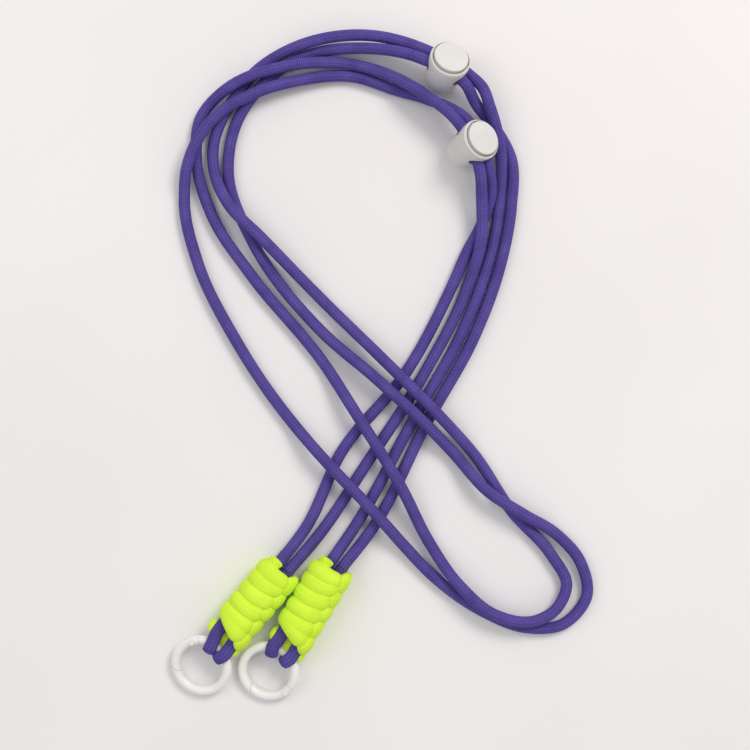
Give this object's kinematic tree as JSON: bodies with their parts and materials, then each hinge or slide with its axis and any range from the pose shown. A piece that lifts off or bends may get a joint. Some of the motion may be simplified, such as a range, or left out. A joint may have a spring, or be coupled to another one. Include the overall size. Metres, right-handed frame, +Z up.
{
  "type": "cord strap with cord locks and gate rings",
  "caption": "Double-strand purple braided cord strap lying coiled, with lime cord wrappings, white gate rings at its ends and white push-button cord locks",
  "frame": {"origin": "Middle of the strap's outline in plan, on the surface that it lies on", "axes": "+Z is up from that surface. +Y runs from the ring ends towards the cord locks. +X is to the right, seen from above with +Y up the page."},
  "size_m": [0.1643, 0.2605, 0.0205],
  "materials": {
    "cord": "matt braided polyester",
    "wrapping": "matt braided polyester, bright",
    "ring_metal": "satin white coating",
    "rivet_steel": "plain",
    "spring_steel": "plain",
    "lock_plastic": "fine moulded satin"
  },
  "bodies": {
    "strap": {"cord_1": "cord", "cord_2": "cord", "wrap_1": "wrapping", "wrap_2": "wrapping", "bight_1_left": "cord", "bight_1_right": "cord", "bight_2_left": "cord", "bight_2_right": "cord"},
    "ring_1": {"ring_1_body": "ring_metal", "ring_1_rivet": "rivet_steel"},
    "gate_1": {"ring_1_gate": "ring_metal", "ring_1_spring": "spring_steel"},
    "ring_2": {"ring_2_body": "ring_metal", "ring_2_rivet": "rivet_steel"},
    "gate_2": {"ring_2_gate": "ring_metal", "ring_2_spring": "spring_steel"},
    "lock_1": {"lock_1_barrel": "lock_plastic", "lock_1_spring": "spring_steel"},
    "button_1": {"lock_1_button": "lock_plastic"},
    "lock_2": {"lock_2_barrel": "lock_plastic", "lock_2_spring": "spring_steel"},
    "button_2": {"lock_2_button": "lock_plastic"}
  },
  "joints": [
    {"name": "ring_1_swing", "type": "hinge", "parent": "strap", "child": "ring_1", "pos_m": [-0.06354, -0.11004, 0.00741], "axis": [-0.7071, 0.7071, 0], "range_deg": [-45, 80]},
    {"name": "ring_1_gate_open", "type": "hinge", "parent": "ring_1", "child": "gate_1", "pos_m": [-0.07347, -0.10699, 0.00601], "axis": [-0.1949, -0.1949, 0.9613], "range_deg": [0, 32], "stiffness_Nm_per_rad": 0.005},
    {"name": "ring_2_swing", "type": "hinge", "parent": "strap", "child": "ring_2", "pos_m": [-0.03902, -0.11132, 0.00732], "axis": [-0.829, 0.5592, 0], "range_deg": [-80, 80]},
    {"name": "ring_2_gate_open", "type": "hinge", "parent": "ring_2", "child": "gate_2", "pos_m": [-0.03745, -0.12687, 0.00388], "axis": [0.1541, 0.2285, -0.9613], "range_deg": [0, 32], "stiffness_Nm_per_rad": 0.005},
    {"name": "lock_1_slide", "type": "slide", "parent": "strap", "child": "lock_1", "axis": [0.866, -0.5, 0], "range_m": [-0.002, 0.002]},
    {"name": "lock_1_press", "type": "slide", "parent": "lock_1", "child": "button_1", "axis": [-0.2347, -0.4066, -0.8829], "range_m": [0, 0.0015], "stiffness_N_per_m": 400, "deforming": ["lock_1_spring"]},
    {"name": "lock_2_slide", "type": "slide", "parent": "strap", "child": "lock_2", "axis": [0.4067, -0.9135, 0], "range_m": [-0.002, 0.002]},
    {"name": "lock_2_press", "type": "slide", "parent": "lock_2", "child": "button_2", "axis": [-0.524, -0.2333, -0.8192], "range_m": [0, 0.0015], "stiffness_N_per_m": 400, "deforming": ["lock_2_spring"]}
  ]
}
